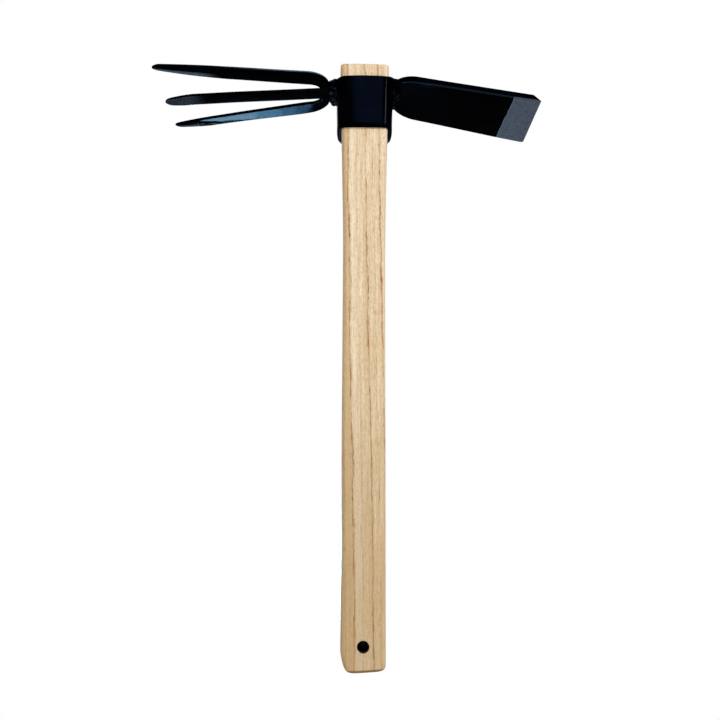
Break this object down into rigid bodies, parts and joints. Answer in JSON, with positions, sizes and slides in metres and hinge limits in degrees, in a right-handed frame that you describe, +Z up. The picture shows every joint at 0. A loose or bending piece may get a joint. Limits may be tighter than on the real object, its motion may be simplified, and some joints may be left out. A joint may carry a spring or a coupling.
{
  "type": "double hoe",
  "caption": "Hand hoe with a flared wooden handle in a tapered steel eye, a flat hoe blade on one side and a forked cultivator on the other.",
  "frame": {"origin": "centre of the hang hole near the butt of the handle", "axes": "+Z up along the handle towards the head, +X towards the hoe blade, -X towards the fork, +Y along the hang hole, away from the picture's viewer"},
  "size_m": [0.255, 0.0867, 0.4],
  "materials": {
    "ash_wood": "straight-grained ash, sanded and oiled, satin",
    "black_enamel": "glossy black enamel over forged and welded steel, thin over the ground cutting bevel"
  },
  "bodies": {
    "root": {"handle": "ash_wood", "eye_collar": "black_enamel", "hoe_blade": "black_enamel", "tine_front": "black_enamel", "tine_middle": "black_enamel", "tine_rear": "black_enamel", "blade_weld_lower": "black_enamel", "blade_weld_upper": "black_enamel", "fork_weld_lower": "black_enamel", "fork_weld_upper": "black_enamel"}
  },
  "joints": []
}
